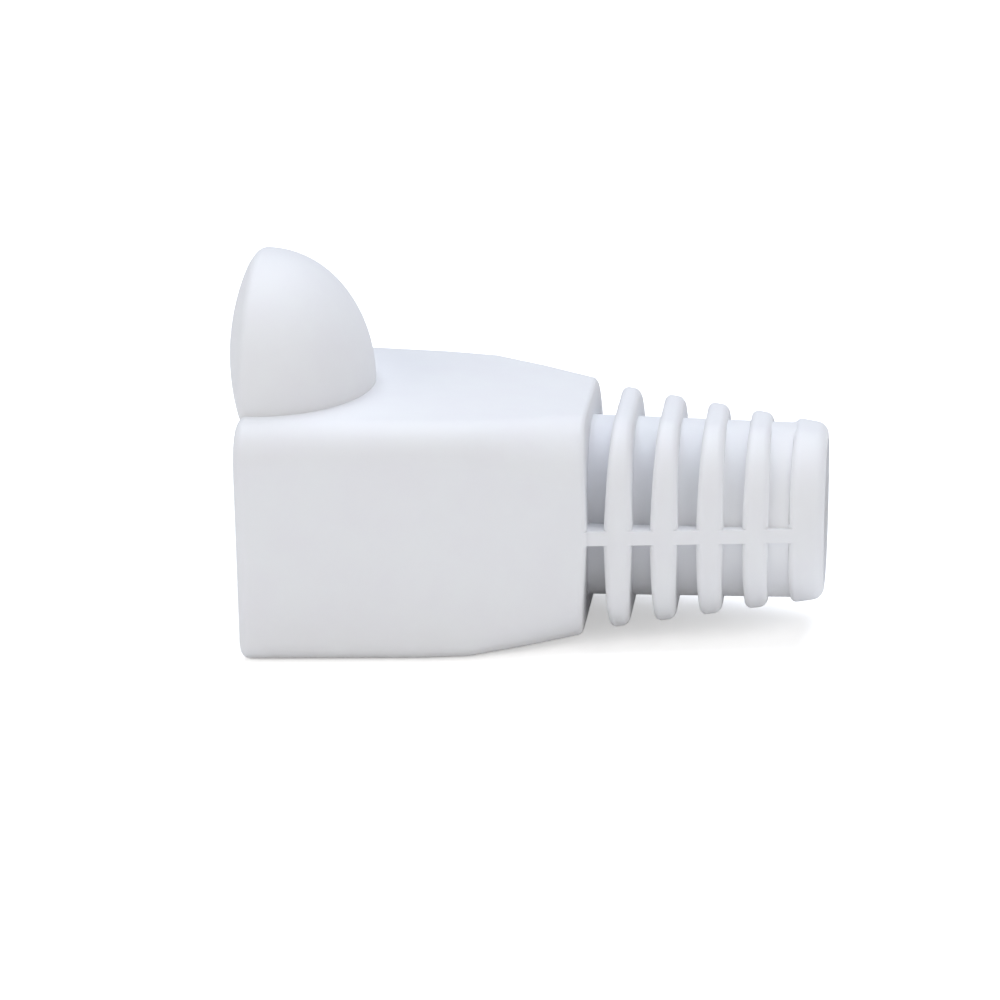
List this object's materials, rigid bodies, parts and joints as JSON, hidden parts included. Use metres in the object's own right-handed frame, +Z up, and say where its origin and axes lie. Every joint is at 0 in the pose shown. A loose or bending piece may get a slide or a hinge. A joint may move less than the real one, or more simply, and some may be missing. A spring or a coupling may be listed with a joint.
{
  "type": "strain relief boot",
  "caption": "One-piece soft strain relief boot for a modular network plug: a tapered hood with a hollow bubble over the plug's latch, and a flexible ribbed tail round the cable.",
  "frame": {"origin": "centre of the plug mouth, on the cable's axis", "axes": "+X along the cable from the plug mouth to the cable exit, +Z up towards the bubble over the plug's latch, +Y completes the right-handed set"},
  "size_m": [0.0228, 0.0144, 0.0146],
  "materials": {
    "soft_pvc": "white soft PVC, as moulded, satin"
  },
  "bodies": {
    "root": {"strain_relief_boot": "soft_pvc"}
  },
  "joints": []
}
